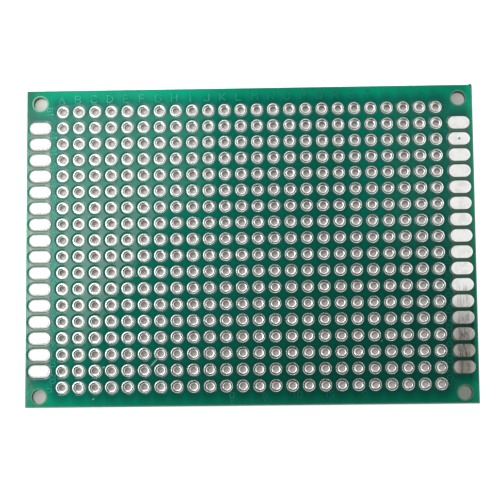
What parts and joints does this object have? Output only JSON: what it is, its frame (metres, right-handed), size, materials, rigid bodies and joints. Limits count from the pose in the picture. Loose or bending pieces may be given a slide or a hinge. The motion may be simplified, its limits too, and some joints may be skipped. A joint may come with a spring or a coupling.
{
  "type": "prototype board",
  "caption": "Double-sided prototype circuit board: drilled glass laminate with plated, tinned holes on a square grid, tinned edge pads and corner mounting holes.",
  "frame": {"origin": "middle of the outline, on the plane of the tinned pads underneath, which the board rests on", "axes": "+X along the long side from column A to column X, +Y along the short side from row 01 to row 18, +Z out of the front face"},
  "size_m": [0.07, 0.0498, 0.0017],
  "materials": {
    "laminate": "woven glass and epoxy, pale yellow-brown where it is cut",
    "solder_mask": "glossy dark green film",
    "tinned_copper": "bright, slightly uneven solder over copper"
  },
  "bodies": {
    "root": {"laminate": "laminate", "solder_mask_front": "solder_mask", "solder_mask_back": "solder_mask", "plated_holes_A": "tinned_copper", "plated_holes_B": "tinned_copper", "plated_holes_C": "tinned_copper", "plated_holes_D": "tinned_copper", "plated_holes_E": "tinned_copper", "plated_holes_F": "tinned_copper", "plated_holes_G": "tinned_copper", "plated_holes_H": "tinned_copper", "plated_holes_I": "tinned_copper", "plated_holes_J": "tinned_copper", "plated_holes_K": "tinned_copper", "plated_holes_L": "tinned_copper", "plated_holes_M": "tinned_copper", "plated_holes_N": "tinned_copper", "plated_holes_O": "tinned_copper", "plated_holes_P": "tinned_copper", "plated_holes_Q": "tinned_copper", "plated_holes_R": "tinned_copper", "plated_holes_S": "tinned_copper", "plated_holes_T": "tinned_copper", "plated_holes_U": "tinned_copper", "plated_holes_V": "tinned_copper", "plated_holes_W": "tinned_copper", "plated_holes_X": "tinned_copper", "edge_pads_front_left": "tinned_copper", "edge_pads_front_right": "tinned_copper", "edge_pads_back_left": "tinned_copper", "edge_pads_back_right": "tinned_copper"}
  },
  "joints": []
}
